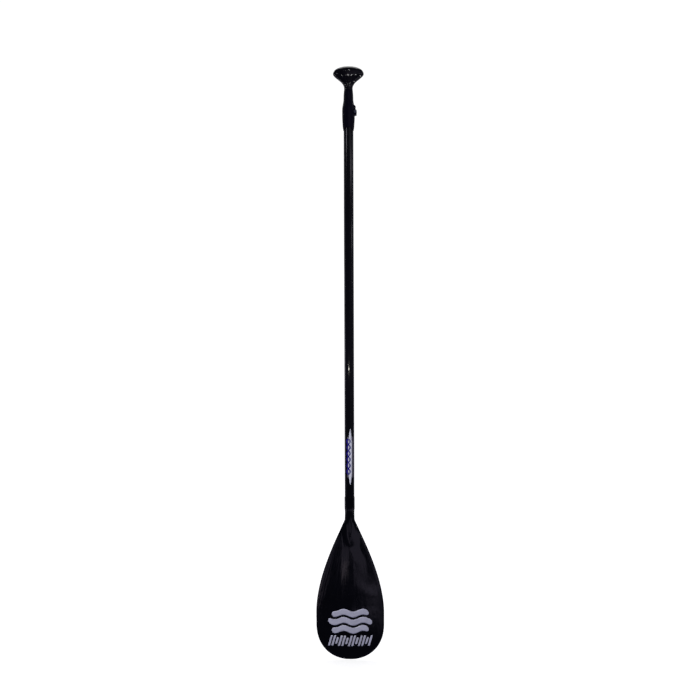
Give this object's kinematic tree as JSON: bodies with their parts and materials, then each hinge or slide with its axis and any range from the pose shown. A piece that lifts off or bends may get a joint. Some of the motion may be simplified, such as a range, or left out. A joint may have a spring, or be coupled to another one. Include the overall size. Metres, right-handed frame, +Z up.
{
  "type": "single blade paddle",
  "caption": "Adjustable single blade paddle with a raked teardrop blade, round shaft, lever clamp collar and sliding handle with a palm grip.",
  "frame": {"origin": "on the shaft's axis at the middle of the outer shaft, where a rack clip or a hand holds it", "axes": "+Z up along the shaft towards the grip; -Y out of the blade's power face; the blade's tip leans to +Y"},
  "size_m": [0.207, 0.0793, 1.7964],
  "materials": {
    "blade_plastic": "smooth black, lightly scuffed",
    "shaft_gloss": "gloss black enamel",
    "collar_plastic": "fine matte texture",
    "grip_plastic": "glossy, faintly pebbled",
    "inner_tube": "black anodised, drawn",
    "steel": "satin stainless",
    "foam": "closed-cell foam",
    "rubber": "matte",
    "bush": "moulded nylon"
  },
  "bodies": {
    "main": {"blade": "blade_plastic", "blade_rivet": "steel", "main_shaft": "shaft_gloss", "shaft_foam_plug": "foam", "clamp_collar": "collar_plastic", "collar_screw": "steel", "key_ring": "bush", "clamp_bolt": "steel", "bolt_washer": "steel", "cam_saddle": "steel", "barrel_pin": "steel"},
    "lever": {"clamp_lever": "collar_plastic"},
    "handle": {"handle_tube": "inner_tube", "tube_guide_plug": "bush", "tube_o_ring": "rubber", "tube_foam_plug": "foam", "grip_core": "bush", "grip_pin": "steel", "grip_front_shell": "grip_plastic", "grip_rear_shell": "grip_plastic"}
  },
  "joints": [
    {"name": "handle_slide", "type": "slide", "parent": "main", "child": "handle", "axis": [0, 0, 1], "range_m": [0, 0.4]},
    {"name": "lever_pivot", "type": "hinge", "parent": "main", "child": "lever", "pos_m": [0.02, 0.0145, 0.572], "axis": [0, 0, -1], "range_deg": [0, 135]}
  ]
}
